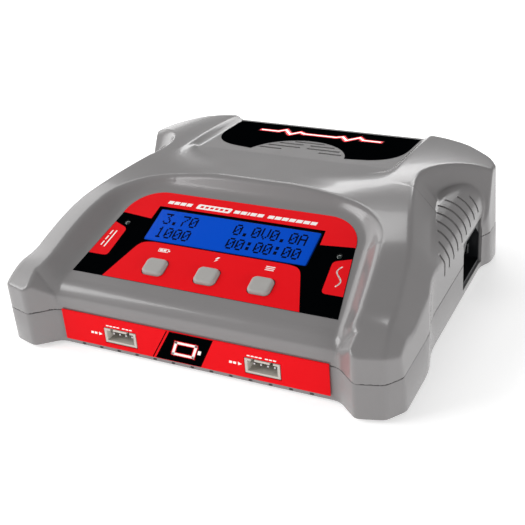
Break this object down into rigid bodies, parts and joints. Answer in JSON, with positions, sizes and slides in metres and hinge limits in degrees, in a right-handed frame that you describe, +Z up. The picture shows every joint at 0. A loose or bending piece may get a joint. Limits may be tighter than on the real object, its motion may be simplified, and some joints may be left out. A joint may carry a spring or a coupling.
{
  "type": "balance battery charger",
  "caption": "Bench balance charger: waisted glossy case, sloped panel with character display and push keys, balance sockets in front, fan grille and power inlets.",
  "frame": {"origin": "middle of the footprint, on the surface the rubber feet stand on", "axes": "+X to the right as the panel is read, +Y to the rear, +Z up; the sloped panel and the balance sockets face -Y, the mains inlet faces +X"},
  "size_m": [0.152, 0.135, 0.0473],
  "materials": {
    "case": "glossy moulded grey",
    "panel_print": "glossy red and black print",
    "badge": "glossy black",
    "display": "blue backlit character display",
    "black_plastic": "satin black",
    "white_plastic": "off-white moulded",
    "button_plastic": "light grey satin",
    "circuit_board": "green solder mask",
    "led_lens": "dark smoked lens",
    "clear_film": "translucent film",
    "capacitor_sleeve": "printed sleeve",
    "winding": "enamelled copper wire",
    "ferrite": "dark sintered ferrite",
    "heatsink": "extruded",
    "tinned_metal": "tinned or plated",
    "rubber": "matte"
  },
  "bodies": {
    "case": {"ac_blade_earth": "tinned_metal", "ac_blade_line": "tinned_metal", "ac_blade_neutral": "tinned_metal", "ac_inlet": "black_plastic", "balance_header_left": "white_plastic", "balance_header_right": "white_plastic", "balance_pins_left": "tinned_metal", "balance_pins_right": "tinned_metal", "bulk_capacitor": "capacitor_sleeve", "buzzer": "black_plastic", "case_screw_1": "tinned_metal", "case_screw_2": "tinned_metal", "case_screw_3": "tinned_metal", "case_screw_4": "tinned_metal", "control_board": "circuit_board", "control_overlay": "panel_print", "controller_chip": "black_plastic", "dc_jack": "black_plastic", "dc_jack_pin": "tinned_metal", "display_backlight": "white_plastic", "display_bezel": "black_plastic", "display_glass": "display", "fan_frame": "black_plastic", "fan_screw_1": "tinned_metal", "fan_screw_2": "tinned_metal", "fan_screw_3": "tinned_metal", "fan_screw_4": "tinned_metal", "front_label": "panel_print", "heatsink_left": "heatsink", "heatsink_right": "heatsink", "lower_shell": "case", "main_board": "circuit_board", "mains_choke": "winding", "output_capacitor_1": "capacitor_sleeve", "output_capacitor_2": "capacitor_sleeve", "rear_badge": "badge", "ribbon_cable": "clear_film", "ribbon_socket": "black_plastic", "rubber_foot_1": "rubber", "rubber_foot_2": "rubber", "rubber_foot_3": "rubber", "rubber_foot_4": "rubber", "status_led_left": "led_lens", "status_led_right": "led_lens", "switch_left": "tinned_metal", "switch_middle": "tinned_metal", "switch_right": "tinned_metal", "transformer_core": "ferrite", "transformer_winding": "winding", "transistor_1": "black_plastic", "transistor_2": "black_plastic", "upper_shell": "case"},
    "button_left": {"button_left": "button_plastic", "switch_plunger_left": "black_plastic"},
    "button_middle": {"button_middle": "button_plastic", "switch_plunger_middle": "black_plastic"},
    "button_right": {"button_right": "button_plastic", "switch_plunger_right": "black_plastic"},
    "fan": {"fan_rotor": "black_plastic"}
  },
  "joints": [
    {"name": "press_left", "type": "slide", "parent": "case", "child": "button_left", "axis": [0, 0.3256, -0.9455], "range_m": [0, 0.0005], "stiffness_N_per_m": 1000, "springref_m": -0.0005},
    {"name": "press_middle", "type": "slide", "parent": "case", "child": "button_middle", "axis": [0, 0.3256, -0.9455], "range_m": [0, 0.0005], "stiffness_N_per_m": 1000, "springref_m": -0.0005},
    {"name": "press_right", "type": "slide", "parent": "case", "child": "button_right", "axis": [0, 0.3256, -0.9455], "range_m": [0, 0.0005], "stiffness_N_per_m": 1000, "springref_m": -0.0005},
    {"name": "fan_spin", "type": "hinge", "parent": "case", "child": "fan", "pos_m": [0, 0.0279, 0.031], "axis": [0, 0, 1], "continuous": true}
  ]
}
